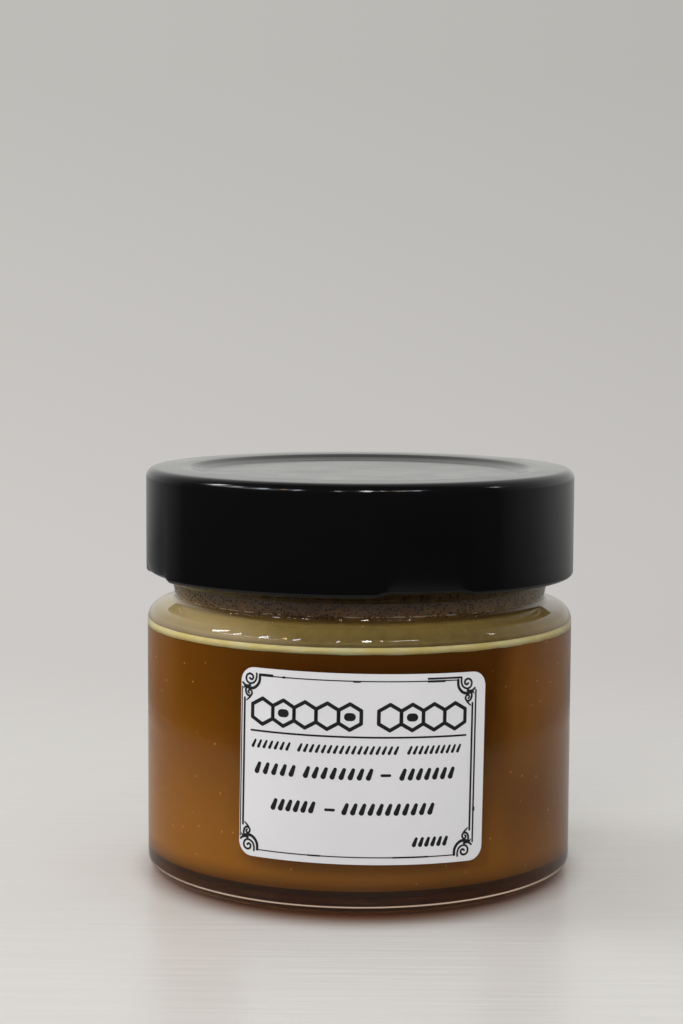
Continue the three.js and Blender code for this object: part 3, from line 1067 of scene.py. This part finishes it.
# %% The studio around the jar
def studio_world():
    world = bpy.data.worlds.new("plain_studio")
    world.use_nodes = True
    tree = world.node_tree
    tree.nodes.clear()
    place = add_node(tree, "ShaderNodeTexCoord")
    look = add_node(tree, "ShaderNodeSeparateXYZ", {"Vector": place.outputs["Generated"]}).outputs
    path = add_node(tree, "ShaderNodeLightPath")
    soft = add_node(tree, "ShaderNodeMix", {
        "Factor": path.outputs["Is Camera Ray"], "A": (0.70, 0.70, 0.70, 1),
        "B": wall_behind(tree, look)}, data_type="RGBA")
    seen = add_node(tree, "ShaderNodeMix", {
        "Factor": mirror_ray(tree), "A": soft.outputs["Result"], "B": mirrored_room(tree, look)},
        data_type="RGBA")
    light = add_node(tree, "ShaderNodeBackground", {
        "Color": seen.outputs["Result"], "Strength": 1.0})
    add_node(tree, "ShaderNodeOutputWorld", {"Surface": light.outputs[0]})
    world.cycles.sampling_method = "NONE"
    bpy.context.scene.world = world


studio_world()

# %% Lamps
LAMPS_ROUND = 0.045
LAMPS_AIM_AT = 0.035


def soft_lamp(name, angle, height, size, power, colour="#FFFFFF", tall=None, away=1.2):
    """An area lamp aimed at the jar; the angle is counted from the front, to the right. A tall one
    only shows as a reflection, and a round one only lights. Sizes are in metres."""
    light = bpy.data.lights.new(name, "AREA")
    light.shape = "ELLIPSE" if tall else "DISK"
    light.size = size
    if tall:
        light.size_y = tall
    light.energy = power
    light.color = linear(colour)[:3]
    turned = math.radians(angle)
    raised = math.radians(height)
    place = Vector((math.sin(turned) * math.cos(raised), -math.cos(turned) * math.cos(raised),
                    math.sin(raised))) * away + Vector((0, 0, LAMPS_ROUND))
    lamp = bpy.data.objects.new(name, light)
    lamp.location = place
    lamp.rotation_euler = (Vector((0, 0, LAMPS_AIM_AT)) - place).to_track_quat("-Z", "Y").to_euler()
    lamp.visible_camera = False
    lamp.visible_glossy = bool(tall)
    lamp.visible_diffuse = not tall
    lamp.visible_transmission = False
    bpy.context.scene.collection.objects.link(lamp)


soft_lamp("window_left", -100, 25, 0.6, 4.8)
soft_lamp("lamp_front", -15, 40, 0.35, 2.2, "#FFFAF4")
# Strip lamps under the ceiling give the sparks on the lid's edge and on the shoulder, and one long
# thin one a line of light on the left. Each has its angle, height, width, length, power, colour.
SPARKS = [(-92, 36, 0.10, 0.30, 1.5, "#FFFFFF"), (-76, 35, 0.05, 0.20, 0.5, "#FFFFFF"),
          (-67, 29, 0.90, 0.03, 0.9, "#EEF2FF"), (-57, 34, 0.09, 0.25, 0.9, "#E8EEFF"),
          (-44, 36, 0.04, 0.16, 0.30, "#FFDFB8"), (-36, 34, 0.07, 0.25, 0.6, "#E6ECFF"),
          (-12, 33, 0.05, 0.20, 0.25, "#FFFFFF"), (4, 36, 0.10, 0.30, 1.5, "#FFFFFF"),
          (13, 37, 0.03, 0.16, 0.20, "#FFEBD0"), (24, 36, 0.20, 0.10, 0.5, "#FFF1E0"),
          (33, 36, 0.05, 0.20, 0.5, "#E8EEFF"), (84, 34, 0.05, 0.20, 0.25, "#FFFFFF")]
for k, (angle, height, width, length, power, colour) in enumerate(SPARKS):
    soft_lamp(f"strip_lamp_{k + 1}", angle, height, width, power, colour, tall=length)
print(f"lamps: two soft ones and {len(SPARKS)} strips")

# %% [markdown]
# ## The camera
#
# The photograph was taken from a little above the lid, about forty centimetres away, with a
# lens of about 80 mm. The camera leans down a little and is turned slightly to the left.

# %% The camera
CAMERA_BACK = 0.400
CAMERA_HEIGHT = 0.101
CAMERA_DOWN = math.radians(5.57)
CAMERA_LEFT = math.radians(0.46)
CAMERA_ROLL = math.radians(0.27)
FOCAL_LENGTH = 81.1

view = bpy.data.cameras.new("camera")
view.lens = FOCAL_LENGTH
view.sensor_width = 36
camera = bpy.data.objects.new("camera", view)
camera.location = (0, -CAMERA_BACK, CAMERA_HEIGHT)
aim = (Matrix.Rotation(CAMERA_LEFT, 4, "Z") @ Matrix.Rotation(math.pi / 2 - CAMERA_DOWN, 4, "X")
       @ Matrix.Rotation(CAMERA_ROLL, 4, "Z"))
camera.rotation_euler = aim.to_euler()
bpy.context.scene.collection.objects.link(camera)
bpy.context.scene.camera = camera
bpy.context.scene.view_settings.view_transform = "Standard"
print(f"camera: {CAMERA_BACK} m in front of the axis, with a lens of {FOCAL_LENGTH} mm")
